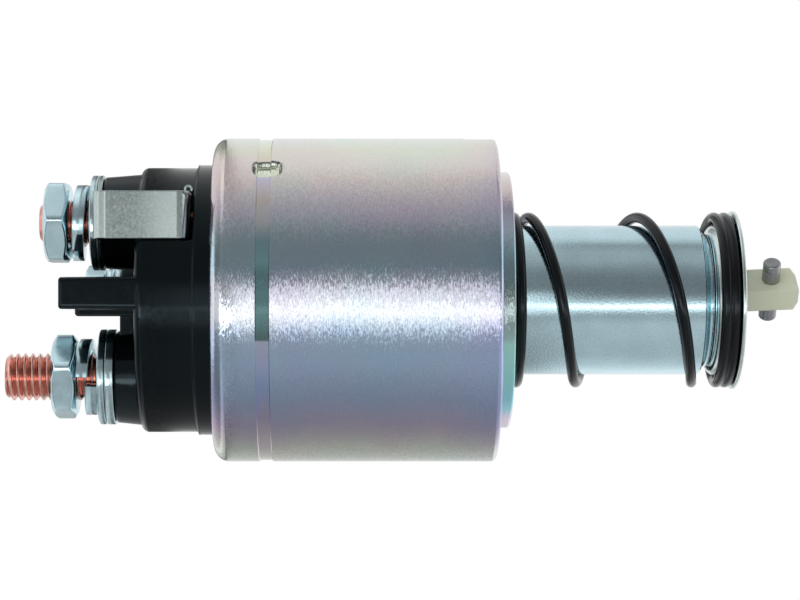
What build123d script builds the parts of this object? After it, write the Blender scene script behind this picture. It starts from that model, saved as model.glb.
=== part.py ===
from build123d import *
import math
import os

# Starter solenoid. The axis of the plunger is X and the terminals are at the -X end.
# The origin is on the axis, in the plane of the can's mounting shoulder.

# Clearances
run_fit = 0.05
loose_fit = 0.1
seat_gap = 0.05
ring_fit = 0.02
cutter_margin = 1.0

# Can
can_radius = 27.5
can_length = 47.6
can_wall = 2.7
front_wall = 8.0
rolled_lip = 2.6
rolled_radius = 2.4
lip_width = 4.2
front_edge_radius = 0.8
pilot_step = 5.7
pilot_height = 2.3
pilot_chamfer = 0.5
groove_width = 2.3
groove_depth = 0.25
groove_flank = 0.3
stake_length = 5.0
stake_width = 4.3
stake_depth = 0.9
stake_angle = 52.0
stake_offset = 0.55
flat_depth = 0.35
flat_length = 4.9
flat_offset = 0.4

# Tapped holes in the front wall
mount_hole_radius = 2.5
mount_hole_inset = 3.5
mount_hole_count = 3
mount_hole_depth = 9.0
mount_hole_start = 30.0

# Guide tube and plunger
plunger_radius = 12.7
tube_wall = 0.3
tube_stand_out = 4.2
plunger_rest_gap = 10.5
plunger_shoulder = 35.3
plunger_chamfer = 1.2
collar_radius = 11.3
collar_length = 0.7
plunger_bore = 7.8
plunger_floor = 13.0
nose_radius = 8.0
nose_length = 2.4
cover_thickness = 1.6
cover_inset = 0.3
cover_hole = 5.5

# Fixed core
core_plate = 4.6
core_hub_length = 11.7
core_chamfer = 0.8
rod_radius = 3.0
rim_groove_depth = 0.4

# Coil
bobbin_wall = 1.1
bobbin_flange = 1.3
hold_winding_share = 0.492
outer_coil_inset = 1.2
bobbin_inset = 0.6
coil_washer_sheet = 0.5
coil_washer_height = 1.4
coil_washer_inner = 15.0
coil_washer_inset = 2.3
lead_radius = 0.6

# Terminal cap
cap_step = 0.5
cap_edge_radius = 1.1
cap_body_length = 9.6
cap_flange_stand_out = 2.7
cap_flange_gap = 0.3
cap_foot = 2.9
cap_end_wall = 3.7
cap_wall = 2.1
gasket_thickness = 0.8
gasket_width = 2.9

# Studs in the cap
stud_radius = 4.0
stud_shank_radius = 3.6
stud_inset = 8.43
stud_spread = 23.0
stud_boss_radius = 7.7
stud_boss_root = 8.35
stud_head_radius = 5.8
stud_head_flat = 4.6
stud_head = 3.4
stud_tip_chamfer = 0.7
battery_boss_length = 4.05
battery_stud_reach = 18.55
motor_boss_length = 6.0
motor_stud_reach = 10.9
signal_radius = 2.5
signal_inset = 10.5
signal_height = 1.6
signal_boss_radius = 5.0
signal_boss_length = 4.7
signal_stud_reach = 7.0
boss_chamfer = 0.3
boss_overlap = 1.0
signal_head_radius = 5.0
signal_head = 2.0

# Nuts and washers
nut_across = 13.0
nut_thickness = 4.15
signal_nut_across = 8.0
signal_nut_thickness = 3.7
nut_face_fraction = 0.92
washer_radius = 8.0
washer_bore = 4.2
thick_washer = 1.5
thin_washer = 1.2
lock_outer = 6.4
lock_inner = 4.15
lock_sheet = 2.0
lock_rise = 1.6
lock_split = 14.0
signal_washer_radius = 4.2
signal_washer_thickness = 0.9
signal_lock_outer = 4.0
signal_lock_sheet = 1.1
signal_lock_rise = 0.4
battery_nut_turn = -15.0
motor_nut_turn = -3.0
signal_nut_turn = 30.0
battery_split_turn = -91.0
motor_split_turn = 65.0
signal_split_turn = 0.0

# Motor strap
strap_sheet = 0.8
strap_width = 7.8
strap_rise = 0.95
strap_inset = 2.1
strap_end_gap = 0.9
strap_bend = 2.0
strap_depth_share = 0.2845
strap_slot_gap = 0.3
strap_slot_extra = 1.0
lead_notch = 1.0

# Insulating arm between the studs
arm_reach = 12.2
arm_inset = 0.2
arm_split = -9.0
arm_back_gap = 6.0
arm_height = 5.4
arm_middle = 1.13
arm_round = 0.7
ledge_reach = 10.9
ledge_drop = 1.15
ledge_step = 0.4
arm_taper = 0.2
web_reach = 3.3
web_drop = 6.5

# Contacts
contact_gap = 2.8
disc_inset = 6.5
disc_thickness = 2.2
rod_small_radius = 2.5
rod_reach = 3.7
rod_tail = 2.8
rod_chamfer = 0.3
rod_collar_radius = 5.2
rod_collar = 1.2
bush_flange_radius = 4.8
bush_flange = 0.6
bush_sleeve_radius = 3.5
clip_thickness = 0.6
clip_radius = 4.0
clip_groove_depth = 0.4
clip_mouth = 0.7
contact_spring_length = 2.6
rear_bush_flange = 0.5
chamber_recess_radius = 6.2
chamber_recess = 1.6
rod_recess = 2.4
rod_recess_gap = 0.3

# Springs
return_wire = 0.9
return_end_pitch = 2.4
return_end_turns = 1.0
return_turns = 1.75
closed_pitch = 1.03
seat_turns = 1.8
contact_wire = 0.45
contact_spring_radius = 4.3
contact_spring_turns = 2.0
back_spring_widening = 0.6
back_spring_turns = 4.0
disc_chamfer = 0.3
engagement_wire = 0.9
engagement_radius = 6.5
engagement_turns = 6.0

# Spring seat, link and pin
seat_sheet = 0.7
seat_crown_gap = 0.15
seat_brim_width = 1.15
seat_face = 36.1
seat_brim_face = 40.1
seat_corner = 1.6
seat_clip = 0.8
seat_clip_radius = 9.4
seat_clip_mouth = 4.0
link_end = 51.6
link_thickness = 4.4
link_width = 5.9
link_roll = 40.0
link_tilt = 2.4
link_head_radius = 7.4
link_head = 3.0
link_head_chamfer = 0.4
link_spring_gap = 0.2
link_floor_gap = 4.35
link_nose_chamfer = 0.9
pin_radius = 1.5
pin_length = 12.0
pin_grip_radius = 1.25
pin_place = 47.0
pin_chamfer = 0.25

# Radii and places that follow from the sizes above
can_inner = can_radius - can_wall
lip_opening = can_radius - lip_width
pilot_radius = can_radius - pilot_step
mount_hole_circle = pilot_radius - mount_hole_inset
outer_coil_radius = can_inner - outer_coil_inset
bobbin_radius = can_inner - bobbin_inset
coil_washer_outer = can_inner - coil_washer_inset
cap_flange_radius = lip_opening - cap_flange_gap
cap_radius = cap_flange_radius - cap_step
cap_flange_face = -can_length - cap_flange_stand_out
cap_end = cap_flange_face - cap_body_length
battery_boss_end = cap_end - battery_boss_length
motor_boss_end = cap_end - motor_boss_length
signal_boss_end = cap_end - signal_boss_length
battery_stud_end = battery_boss_end - battery_stud_reach
motor_stud_end = motor_boss_end - motor_stud_reach
signal_stud_end = signal_boss_end - signal_stud_reach
stud_circle = cap_radius - stud_inset
stud_side = -stud_circle * math.sin(math.radians(stud_spread))
stud_height = stud_circle * math.cos(math.radians(stud_spread))
signal_side = cap_radius - signal_inset
arm_back = signal_side - arm_back_gap
arm_tip = cap_end - arm_reach
arm_front = -cap_radius + arm_inset
ledge_tip = cap_end - ledge_reach
strap_height = stud_height + strap_rise
strap_stand_out = cap_radius - strap_inset
strap_depth = cap_radius * strap_depth_share
strap_right = cap_flange_face - strap_end_gap
strap_inner_end = -strap_stand_out + strap_depth
disc_radius = cap_radius - disc_inset
tube_inner = plunger_radius + run_fit
tube_outer = tube_inner + tube_wall
winding_core = tube_outer + bobbin_wall + 2 * loose_fit
inner_coil_radius = winding_core + (outer_coil_radius - winding_core) * hold_winding_share
return_radius = tube_outer + loose_fit + return_wire
seat_crown_radius = return_radius - return_wire - seat_crown_gap
seat_brim_radius = return_radius + seat_brim_width
cap_shoulder = -can_length + rolled_lip + seat_gap
gasket_face = cap_shoulder + cap_foot + seat_gap
core_face = gasket_face + gasket_thickness + seat_gap
core_back = core_face + core_plate
groove_center = (core_face + core_back) / 2
hub_face = core_back + core_hub_length
plunger_face = hub_face + plunger_rest_gap
link_inner = plunger_face + plunger_floor + link_floor_gap
chamber_end = cap_end + cap_end_wall
chamber_radius = cap_radius - cap_wall
stud_head_face = chamber_end + stud_head
disc_face = stud_head_face + contact_gap
disc_back = disc_face + disc_thickness
collar_face = disc_back + rear_bush_flange + contact_spring_length
clip_face = disc_face - bush_flange - seat_gap - clip_thickness
coil_start = core_back + loose_fit
coil_end = -front_wall - coil_washer_height - loose_fit
tube_start = core_back + loose_fit
pull_lead_side = strap_inner_end + lead_radius + seat_gap
hold_lead_side = signal_side + signal_head_radius + lead_radius + seat_gap


def turned(points):
    """Solid of revolution about the X axis from (x, radius) points."""
    return revolve(make_face(Polyline(*points, close=True)), Axis.X)


def tube(start, end, inner, outer):
    return turned([(start, inner), (end, inner), (end, outer), (start, outer)])


def rod(start, end, radius, chamfer_start=0.0, chamfer_end=0.0):
    points = [(start, 0), (end, 0)]
    points += [(end, radius - chamfer_end), (end - chamfer_end, radius)] if chamfer_end else [(end, radius)]
    if chamfer_start:
        points += [(start + chamfer_start, radius), (start, radius - chamfer_start)]
    else:
        points += [(start, radius)]
    return turned(points)


def block(x, y, z):
    """Box between the pairs x, y and z."""
    size = (x[1] - x[0], y[1] - y[0], z[1] - z[0])
    center = ((x[0] + x[1]) / 2, (y[0] + y[1]) / 2, (z[0] + z[1]) / 2)
    return Pos(*center) * Box(*size)


def coil(start, turns, pitch, radius, wire, turn_start=0.0):
    """Round wire wound about the X axis, clockwise seen from -X, starting at the top."""
    path = Helix(pitch, pitch * turns, radius)
    section = Plane(origin=path @ 0, z_dir=path % 0) * Circle(wire)
    wound = sweep(section, path=path, is_frenet=True)
    return Pos(start, 0, 0) * Rot(turn_start, 0, 0) * Rot(0, 90, 0) * Rot(0, 0, 180) * wound


def split_ring(start, outer, inner, sheet, rise, split_turn):
    """Spring lock washer: a square-cut left-hand turn with a gap at its split."""
    turns = 1.0 - lock_split / 360.0
    pitch = rise / turns
    path = Helix(pitch, rise, (outer + inner) / 2, lefthand=True)
    frame = Plane(origin=path @ 0, x_dir=(1, 0, 0), z_dir=(0, -1, 0))
    section = frame * Rectangle(outer - inner, sheet)
    wound = sweep(section, path=path, is_frenet=True)
    return Pos(start + sheet / 2, 0, 0) * Rot(split_turn, 0, 0) * Rot(0, 90, 0) * wound


def hex_nut(start, thickness, across, bore, turn):
    prism = extrude(Plane.YZ * RegularPolygon(across / 2, 6, major_radius=False), thickness)
    face_radius = across / 2 * nut_face_fraction
    corner = across / math.sqrt(3)
    slope = (corner - face_radius) * math.tan(math.radians(30))
    dome = turned([
        (0, 0), (0, face_radius), (slope, corner), (thickness - slope, corner),
        (thickness, face_radius), (thickness, 0),
    ])
    nut = (prism & dome) - rod(-cutter_margin, thickness + cutter_margin, bore)
    return Pos(start, 0, 0) * Rot(turn, 0, 0) * nut


def stud(end, radius, shank_radius, free_end, head_radius, head_flat, head_face):
    """Terminal stud: threaded free end, shank through the cap and a head with two flats."""
    shaft = turned([
        (end, 0), (end, radius - stud_tip_chamfer), (end + stud_tip_chamfer, radius), (free_end, radius),
        (free_end + seat_gap, shank_radius), (chamber_end, shank_radius), (chamber_end, 0),
    ])
    head = rod(chamber_end, head_face, head_radius) & block(
        (chamber_end, head_face), (-head_radius, head_radius), (-head_flat, head_flat))
    return shaft + head


def rims(shape, x, radius):
    """Circular edges about the X axis at the place x with the given radius."""
    found = shape.edges().filter_by(GeomType.CIRCLE)
    return [e for e in found if abs(e.center().X - x) < 0.01 and abs(e.radius - radius) < 0.01]


def around(shape, count, start=0.0):
    """Copies of a shape spread evenly about the X axis."""
    return [Rot(start + i * 360.0 / count, 0, 0) * shape for i in range(count)]


def make_can():
    """Drawn can with a thick front wall, a pilot boss and a lip rolled over the cap's flange."""
    bore = tube_outer + loose_fit
    shell = turned([
        (-can_length, lip_opening), (-can_length, can_radius), (0, can_radius), (0, pilot_radius),
        (pilot_height, pilot_radius), (pilot_height, bore), (-front_wall, bore), (-front_wall, can_inner),
        (-can_length + rolled_lip, can_inner), (-can_length + rolled_lip, lip_opening),
    ])
    shell = fillet(rims(shell, -can_length, can_radius), rolled_radius)
    shell = fillet(rims(shell, 0, can_radius), front_edge_radius)
    shell = chamfer(rims(shell, pilot_height, pilot_radius), pilot_chamfer)
    left, right = groove_center - groove_width / 2, groove_center + groove_width / 2
    over = can_radius + cutter_margin
    shell -= turned([
        (left, can_radius), (left + groove_flank, can_radius - groove_depth),
        (right - groove_flank, can_radius - groove_depth), (right, can_radius), (right, over), (left, over),
    ])
    outline = Pos(0, 0, can_radius - stake_depth) * SlotOverall(stake_length, stake_width)
    pocket = extrude(outline, stake_depth + cutter_margin)
    pocket = Pos(groove_center + stake_offset, 0, 0) * Rot(90 - stake_angle, 0, 0) * pocket
    shell -= pocket
    flat_end = -flat_offset
    shell -= block((flat_end - flat_length, flat_end), (-over, over), (can_radius - flat_depth, over))
    hole = Pos(0, 0, mount_hole_circle) * rod(
        pilot_height - mount_hole_depth, pilot_height + cutter_margin, mount_hole_radius)
    for copy in around(hole, mount_hole_count, mount_hole_start):
        shell -= copy
    return shell


def make_fixed_core():
    """Pole plate with its hub, bored for the contact rod and the two leads."""
    rim = can_inner - loose_fit
    left, right = groove_center - groove_width / 2, groove_center + groove_width / 2
    core = turned([
        (core_face, rod_radius + run_fit), (hub_face, rod_radius + run_fit),
        (hub_face, plunger_radius - core_chamfer), (hub_face - core_chamfer, plunger_radius),
        (core_back, plunger_radius), (core_back, rim), (right, rim),
        (right - groove_flank, rim - rim_groove_depth),
        (left + groove_flank, rim - rim_groove_depth), (left, rim), (core_face, rim),
    ])
    return core - lead_holes(lead_radius + loose_fit)


def lead_holes(radius):
    through = rod(cap_end, coil_start + bobbin_flange + cutter_margin, radius)
    return Pos(0, pull_lead_side, strap_height) * through + Pos(0, hold_lead_side, signal_height) * through


def make_guide_tube():
    return tube(tube_start, tube_stand_out, tube_inner, tube_outer)


def make_bobbin():
    inner = tube_outer + loose_fit
    outer = inner + bobbin_wall
    spool = turned([
        (coil_start, inner), (coil_end, inner), (coil_end, bobbin_radius),
        (coil_end - bobbin_flange, bobbin_radius), (coil_end - bobbin_flange, outer),
        (coil_start + bobbin_flange, outer), (coil_start + bobbin_flange, bobbin_radius),
        (coil_start, bobbin_radius),
    ])
    return spool - lead_holes(lead_radius + loose_fit)


def make_windings():
    start = coil_start + bobbin_flange + loose_fit
    end = coil_end - bobbin_flange - loose_fit
    hold = tube(start, end, winding_core, inner_coil_radius)
    pull = tube(start, end, inner_coil_radius + loose_fit, outer_coil_radius)
    return hold, pull


def make_coil_washer():
    """Coned spring washer that presses the bobbin against the fixed core."""
    low, high = coil_end + seat_gap, -front_wall - seat_gap
    sheet = coil_washer_sheet
    return turned([
        (low, coil_washer_outer), (low + sheet, coil_washer_outer), (high, coil_washer_inner),
        (high - sheet, coil_washer_inner),
    ])


def make_gasket():
    outer = can_inner - loose_fit
    return tube(gasket_face, gasket_face + gasket_thickness, outer - gasket_width, outer)


def make_cap():
    """Moulded cap: cup, flange, three stud bosses and the insulating arm."""
    foot = can_inner - loose_fit
    cap = turned([
        (cap_end, 0), (cap_end, cap_radius), (cap_flange_face, cap_radius),
        (cap_flange_face, cap_flange_radius),
        (cap_shoulder, cap_flange_radius), (cap_shoulder, foot), (cap_shoulder + cap_foot, foot),
        (cap_shoulder + cap_foot, 0),
    ])
    cap = fillet(rims(cap, cap_end, cap_radius), cap_edge_radius)
    boss_root = chamber_end - boss_overlap
    for height, end in ((-stud_height, battery_boss_end), (stud_height, motor_boss_end)):
        cap += Pos(0, stud_side, height) * turned([
            (end, 0), (end, stud_boss_radius - boss_chamfer), (end + boss_chamfer, stud_boss_radius),
            (boss_root, stud_boss_root), (boss_root, 0)])
    cap += Pos(0, signal_side, signal_height) * rod(
        signal_boss_end, boss_root, signal_boss_radius, boss_chamfer)
    cap += make_arm()
    cap -= rod(chamber_end, cap_shoulder + cap_foot + cutter_margin, chamber_radius)
    cap -= rod(chamber_end - chamber_recess, chamber_end + cutter_margin, chamber_recess_radius)
    cap -= rod(chamber_end - rod_recess, chamber_end + cutter_margin, rod_small_radius + rod_recess_gap)
    for side, height, radius in (
            (stud_side, -stud_height, stud_shank_radius), (stud_side, stud_height, stud_shank_radius),
            (signal_side, signal_height, signal_radius)):
        cap -= Pos(0, side, height) * rod(
            motor_boss_end - cutter_margin, chamber_end + cutter_margin, radius + run_fit)
    low = strap_height - strap_width / 2 - strap_slot_gap
    high = strap_height + strap_width / 2 + strap_slot_gap
    slot_x = (strap_right - strap_sheet / 2 - strap_slot_gap - strap_slot_extra,
              strap_right + strap_sheet / 2 + strap_slot_gap)
    cap -= block(slot_x, (-cap_radius - cutter_margin, strap_inner_end + lead_notch), (low, high))
    return cap


def end_edges(shape, x):
    """Edges that lie in the plane at the place x."""
    return [e for e in shape.edges() if abs(e.center().X - x) < 0.01]


def make_arm():
    """Barrier between the two studs: a front tongue, a deeper ledge behind it and a web to the lower boss."""
    root = cap_end + boss_overlap
    half = arm_height / 2
    front = loft([
        Plane(origin=(root, 0, 0), x_dir=(0, 1, 0), z_dir=(-1, 0, 0))
        * Pos((arm_front + arm_split) / 2, -arm_middle, 0)
        * RectangleRounded(arm_split - arm_front, arm_height, arm_round),
        Plane(origin=(arm_tip, 0, 0), x_dir=(0, 1, 0), z_dir=(-1, 0, 0))
        * Pos((arm_front + arm_split + arm_taper) / 2, -arm_middle, 0)
        * RectangleRounded(arm_split - arm_front - arm_taper, arm_height - arm_taper, arm_round),
    ])
    front = fillet(end_edges(front, arm_tip), arm_round - arm_taper)
    front = front & turned([
        (root, 0), (root, cap_radius - ring_fit), (arm_tip, cap_radius - arm_taper), (arm_tip, 0)])
    low = arm_middle - half - ledge_drop
    back = block((ledge_tip, root), (arm_split - arm_taper, arm_back), (low, arm_middle + half - ledge_step))
    back = fillet(end_edges(back, ledge_tip), arm_round)
    web = block((cap_end - web_reach, root), (arm_split, 0), (low - web_drop, arm_middle))
    return front + back + web


def make_strap():
    """Bent strip from the motor stud to the slot in the cap's side, with a ring tag."""
    tag_x = motor_boss_end - strap_sheet / 2 - seat_gap
    out_y = -strap_stand_out - strap_sheet / 2
    line = FilletPolyline(
        (tag_x, stud_side - stud_radius), (tag_x, out_y), (strap_right, out_y),
        (strap_right, strap_inner_end),
        radius=strap_bend)
    strip = extrude(trace(line, strap_sheet), strap_width)
    strip = Pos(0, 0, strap_height - strap_width / 2) * strip
    tag = Pos(0, stud_side, stud_height) * tube(
        tag_x - strap_sheet / 2, tag_x + strap_sheet / 2, 0, washer_radius)
    hole = Pos(0, stud_side, stud_height) * rod(tag_x - cutter_margin, tag_x + cutter_margin, washer_bore)
    return strip + tag - hole


def make_link():
    """Nylon bar with a round head, tilted a little in the hollow plunger."""
    head = rod(link_inner, link_inner + link_head, link_head_radius, link_head_chamfer, link_head_chamfer)
    bar = block((link_inner, link_end), (-link_width / 2, link_width / 2),
                (-link_thickness / 2, link_thickness / 2))
    bar = chamfer(end_edges(bar, link_end), link_nose_chamfer)
    hole = Pos(pin_place, 0, 0) * Cylinder(pin_grip_radius, 3 * link_thickness)
    return place_link(head + bar - hole)


def place_link(shape):
    pivot = link_inner + link_head / 2
    return Pos(pivot, 0, 0) * Rot(0, -link_tilt, 0) * Pos(-pivot, 0, 0) * Rot(link_roll, 0, 0) * shape


def make_link_pin():
    """Cross pin whose middle is held in the link and whose two ends stand free."""
    half, grip = pin_length / 2, link_thickness / 2
    side = [
        (0, half), (pin_radius - pin_chamfer, half), (pin_radius, half - pin_chamfer),
        (pin_radius, grip + seat_gap), (pin_grip_radius, grip + seat_gap),
        (pin_grip_radius, -grip - seat_gap), (pin_radius, -grip - seat_gap),
        (pin_radius, pin_chamfer - half), (pin_radius - pin_chamfer, -half), (0, -half),
    ]
    outline = make_face(Polyline(*[(x, 0, z) for x, z in side], close=True))
    return place_link(Pos(pin_place, 0, 0) * revolve(outline, Axis.Z))


def make_plunger():
    """Hollow plunger with a turned-down nose that carries the spring seat."""
    body = turned([
        (plunger_face, 0), (plunger_face, plunger_radius - core_chamfer),
        (plunger_face + core_chamfer, plunger_radius), (plunger_shoulder - plunger_chamfer, plunger_radius),
        (plunger_shoulder, collar_radius), (plunger_shoulder + collar_length, collar_radius),
        (plunger_shoulder + collar_length, nose_radius), (plunger_shoulder + nose_length, nose_radius),
        (plunger_shoulder + nose_length, plunger_bore),
        (plunger_face + plunger_floor, plunger_bore), (plunger_face + plunger_floor, 0),
    ])
    return body


def make_spring_seat():
    """Stamped cup: flat crown on the plunger's collar, wall and brim under the spring."""
    sheet = seat_sheet
    hole = nose_radius + run_fit
    face, brim = seat_face, seat_brim_face
    cup = turned([
        (face, hole), (face, seat_crown_radius), (brim, seat_crown_radius), (brim, seat_brim_radius),
        (brim + sheet, seat_brim_radius), (brim + sheet, seat_crown_radius - sheet),
        (face + sheet, seat_crown_radius - sheet), (face + sheet, hole),
    ])
    cup = fillet(rims(cup, face, seat_crown_radius), seat_corner)
    return fillet(rims(cup, brim + sheet, seat_crown_radius - sheet), seat_corner / 2)


def make_contact_disc():
    hole = bush_sleeve_radius + run_fit
    disc = tube(disc_face, disc_back, hole, disc_radius)
    return chamfer(rims(disc, disc_face, disc_radius) + rims(disc, disc_back, disc_radius), disc_chamfer)


def make_bushes():
    """Two flanged insulating bushes that meet inside the contact disc."""
    inner, sleeve = rod_small_radius + run_fit, bush_sleeve_radius
    middle = (disc_face + disc_back) / 2
    front = turned([
        (disc_face - bush_flange, inner), (middle, inner), (middle, sleeve), (disc_face, sleeve),
        (disc_face, bush_flange_radius), (disc_face - bush_flange, bush_flange_radius),
    ])
    back = turned([
        (middle + seat_gap, inner), (disc_back + rear_bush_flange, inner),
        (disc_back + rear_bush_flange, bush_flange_radius), (disc_back, bush_flange_radius),
        (disc_back, sleeve), (middle + seat_gap, sleeve),
    ])
    return Compound(children=[front, back])


def make_contact_rod():
    """Stepped rod: thick in the core's bore, thin through the disc, with a collar and a clip groove."""
    small = rod_small_radius
    start = clip_face - rod_tail
    return turned([
        (start, 0), (start, small - rod_chamfer), (start + rod_chamfer, small), (clip_face, small),
        (clip_face, small - clip_groove_depth), (clip_face + clip_thickness, small - clip_groove_depth),
        (clip_face + clip_thickness, small), (collar_face, small), (collar_face, rod_collar_radius),
        (collar_face + rod_collar, rod_collar_radius), (collar_face + rod_collar, rod_radius),
        (hub_face + rod_reach, rod_radius), (hub_face + rod_reach, 0),
    ])


def make_rod_clip():
    mouth = rod_small_radius * clip_mouth
    ring = tube(clip_face + ring_fit, clip_face + clip_thickness - ring_fit,
                rod_small_radius - clip_groove_depth + ring_fit, clip_radius)
    return ring - block(
        (clip_face, clip_face + clip_thickness), (0, clip_radius + cutter_margin), (-mouth, mouth))


def make_return_spring():
    """Return spring: a closed end at the can, an open middle and a closed end at the spring seat."""
    last = seat_brim_face - return_wire - seat_gap / 2
    first = pilot_height + return_wire + seat_gap / 2
    rise_end = return_end_pitch * return_end_turns
    rise_seat = 2 * return_wire * closed_pitch * seat_turns
    rise = last - first - rise_end - rise_seat
    a = coil(first, return_end_turns, return_end_pitch, return_radius, return_wire)
    turn = return_end_turns * 360
    b = coil(first + rise_end, return_turns, rise / return_turns, return_radius, return_wire, turn)
    turn += return_turns * 360
    c = coil(first + rise_end + rise, seat_turns, rise_seat / seat_turns, return_radius, return_wire, turn)
    return Compound(children=[a, b, c])


def spring_between(low, high, turns, radius, wire):
    start, end = low + wire + seat_gap, high - wire - seat_gap
    return coil(start, turns, (end - start) / turns, radius, wire)


def save(shape, name):
    export_step(shape, f"parts/{name}.step")


def put(side, height, shape):
    return Pos(0, side, height) * shape


def save_terminals():
    """The three studs with their washers, lock washers and nuts, each stacked from its boss outwards."""
    side, low, high = stud_side, -stud_height, stud_height
    battery = battery_boss_end - seat_gap
    inner_washer = tube(battery - thick_washer, battery, washer_bore, washer_radius)
    battery -= thick_washer + seat_gap
    outer_washer = tube(battery - thin_washer, battery, washer_bore, washer_radius)
    battery -= thin_washer + seat_gap
    save(put(side, low, Compound(children=[inner_washer, outer_washer])), "battery_washers")
    battery -= lock_sheet + lock_rise
    ring = split_ring(battery, lock_outer, lock_inner, lock_sheet, lock_rise, battery_split_turn)
    save(put(side, low, ring), "battery_lock_washer")
    battery -= nut_thickness + seat_gap
    nut = hex_nut(battery, nut_thickness, nut_across, stud_shank_radius + run_fit, battery_nut_turn)
    save(put(side, low, nut), "battery_nut")
    bolt = stud(battery_stud_end, stud_radius, stud_shank_radius, battery - seat_gap,
                stud_head_radius, stud_head_flat, stud_head_face)
    save(put(side, low, bolt), "battery_stud")

    motor = motor_boss_end - strap_sheet - 2 * seat_gap
    save(put(side, high, tube(motor - thin_washer, motor, washer_bore, washer_radius)), "motor_washer")
    motor -= thin_washer + seat_gap + lock_sheet + lock_rise
    ring = split_ring(motor, lock_outer, lock_inner, lock_sheet, lock_rise, motor_split_turn)
    save(put(side, high, ring), "motor_lock_washer")
    motor -= nut_thickness + seat_gap
    nut = hex_nut(motor, nut_thickness, nut_across, stud_shank_radius + run_fit, motor_nut_turn)
    save(put(side, high, nut), "motor_nut")
    bolt = stud(motor_stud_end, stud_shank_radius, stud_shank_radius, motor - seat_gap,
                stud_head_radius, stud_head_flat, stud_head_face)
    save(put(side, high, bolt), "motor_stud")

    side, high = signal_side, signal_height
    signal = signal_boss_end - seat_gap
    ring = tube(signal - signal_washer_thickness, signal, signal_radius + loose_fit, signal_washer_radius)
    save(put(side, high, ring), "signal_washer")
    signal -= signal_washer_thickness + seat_gap + signal_lock_sheet + signal_lock_rise
    ring = split_ring(signal, signal_lock_outer, signal_radius + loose_fit, signal_lock_sheet,
                      signal_lock_rise, signal_split_turn)
    save(put(side, high, ring), "signal_lock_washer")
    signal -= signal_nut_thickness + seat_gap
    nut = hex_nut(signal, signal_nut_thickness, signal_nut_across, signal_radius + run_fit, signal_nut_turn)
    save(put(side, high, nut), "signal_nut")
    bolt = rod(signal_stud_end, chamber_end, signal_radius, stud_tip_chamfer)
    bolt += rod(chamber_end, chamber_end + signal_head, signal_head_radius)
    save(put(side, high, bolt), "signal_stud")


def save_housing():
    save(make_can(), "can")
    save(make_fixed_core(), "fixed_core")
    save(make_guide_tube(), "guide_tube")
    save(make_bobbin(), "bobbin")
    hold, pull = make_windings()
    save(hold, "hold_in_winding")
    save(pull, "pull_in_winding")
    save(make_coil_washer(), "coil_spring_washer")
    save(make_gasket(), "cap_gasket")
    save(make_cap(), "cap")
    save(make_strap(), "motor_strap")
    winding_start = coil_start + bobbin_flange + loose_fit
    pull_lead = rod(strap_right - strap_sheet / 2, winding_start, lead_radius)
    save(put(pull_lead_side, strap_height, pull_lead), "pull_in_lead")
    hold_lead = rod(chamber_end + signal_head / 2, winding_start, lead_radius)
    save(put(hold_lead_side, signal_height, hold_lead), "hold_in_lead")


def save_contacts():
    save(make_contact_rod(), "contact_rod")
    save(make_contact_disc(), "contact_disc")
    save(make_bushes(), "contact_bushes")
    save(make_rod_clip(), "rod_clip")
    back = disc_back + rear_bush_flange
    spring = spring_between(back, collar_face, contact_spring_turns, contact_spring_radius, contact_wire)
    save(spring, "contact_spring")
    low = chamber_end - chamber_recess
    spring = spring_between(
        low, clip_face, back_spring_turns, contact_spring_radius + back_spring_widening, contact_wire)
    save(spring, "contact_return_spring")


def save_plunger():
    save(make_plunger(), "plunger")
    mouth = plunger_shoulder + nose_length
    cover_face = mouth - cover_thickness - cover_inset
    cover = tube(cover_face, mouth - cover_inset, cover_hole, plunger_bore - ring_fit)
    save(cover, "plunger_cover")
    low = link_inner + link_head + link_spring_gap
    spring = spring_between(low, cover_face, engagement_turns, engagement_radius, engagement_wire)
    save(spring, "engagement_spring")
    save(make_link(), "link")
    save(make_link_pin(), "link_pin")
    save(make_spring_seat(), "spring_seat")
    clip_start = seat_face + seat_sheet + seat_gap
    clip = tube(clip_start, clip_start + seat_clip, nose_radius + ring_fit, seat_clip_radius)
    clip -= block((clip_start, clip_start + seat_clip), (0, seat_clip_radius + cutter_margin),
                  (-seat_clip_mouth, seat_clip_mouth))
    save(clip, "seat_clip")
    save(make_return_spring(), "return_spring")


os.makedirs("parts", exist_ok=True)
save_housing()
save_terminals()
save_contacts()
save_plunger()
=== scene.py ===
import math

import bmesh
import bpy
import numpy as np
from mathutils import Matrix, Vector


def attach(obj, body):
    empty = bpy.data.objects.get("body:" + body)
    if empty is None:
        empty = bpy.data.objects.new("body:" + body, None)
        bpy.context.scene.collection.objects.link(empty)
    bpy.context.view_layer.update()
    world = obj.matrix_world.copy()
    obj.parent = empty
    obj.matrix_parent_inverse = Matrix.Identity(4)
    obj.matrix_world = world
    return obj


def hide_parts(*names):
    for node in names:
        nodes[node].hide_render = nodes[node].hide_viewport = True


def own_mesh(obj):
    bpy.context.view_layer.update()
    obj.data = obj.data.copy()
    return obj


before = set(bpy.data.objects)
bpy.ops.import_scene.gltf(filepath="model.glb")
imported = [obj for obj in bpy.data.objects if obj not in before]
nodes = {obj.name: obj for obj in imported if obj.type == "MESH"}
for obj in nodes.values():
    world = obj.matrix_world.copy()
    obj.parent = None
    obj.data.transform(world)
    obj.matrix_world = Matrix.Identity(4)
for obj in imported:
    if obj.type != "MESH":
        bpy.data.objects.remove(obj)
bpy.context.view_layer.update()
mm = 0.001
tau = 2 * math.pi


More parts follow.
